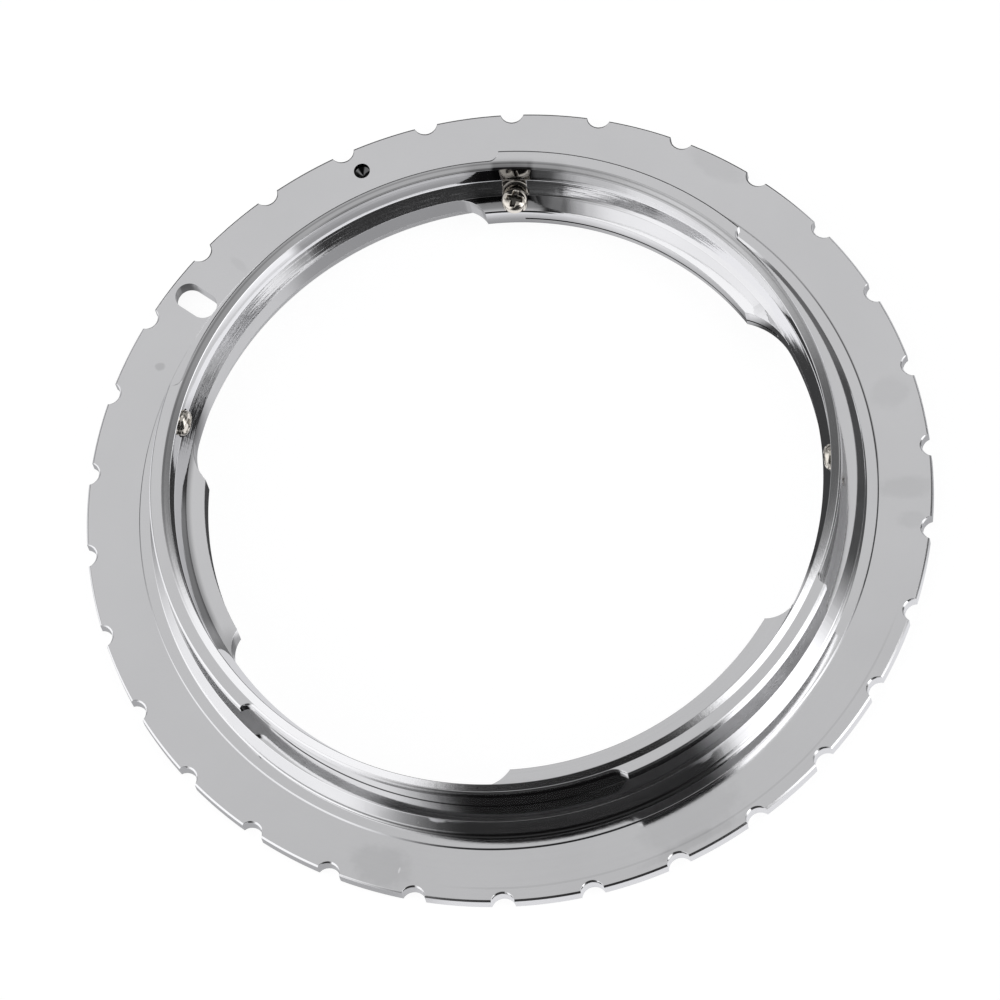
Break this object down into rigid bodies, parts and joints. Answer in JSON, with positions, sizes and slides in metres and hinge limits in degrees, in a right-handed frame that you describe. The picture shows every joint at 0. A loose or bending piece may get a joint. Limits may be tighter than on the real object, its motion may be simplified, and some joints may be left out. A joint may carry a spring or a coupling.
{
  "type": "lens mount adapter",
  "caption": "Flat metal ring adapter with an outward bayonet on a raised neck, an inward bayonet lip, a notched flange, a lock slot and small cross-recess screws.",
  "frame": {"origin": "on the ring's axis, in the plane of the lens-side face that the ring rests on", "axes": "+Z along the ring's axis, from the lens side towards the camera side; +X to the right in the picture, with the axial screw near +Y"},
  "size_m": [0.064, 0.064, 0.0069],
  "materials": {
    "plated_ring": "bright chrome plating on brass, finely turned, satin on the flat faces and mirror on the walls",
    "nickel_screw": "bright nickel plated steel, faintly warm"
  },
  "bodies": {
    "root": {"adapter_ring": "plated_ring", "tension_screw": "nickel_screw", "stop_screw_1": "nickel_screw", "stop_screw_2": "nickel_screw"}
  },
  "joints": []
}
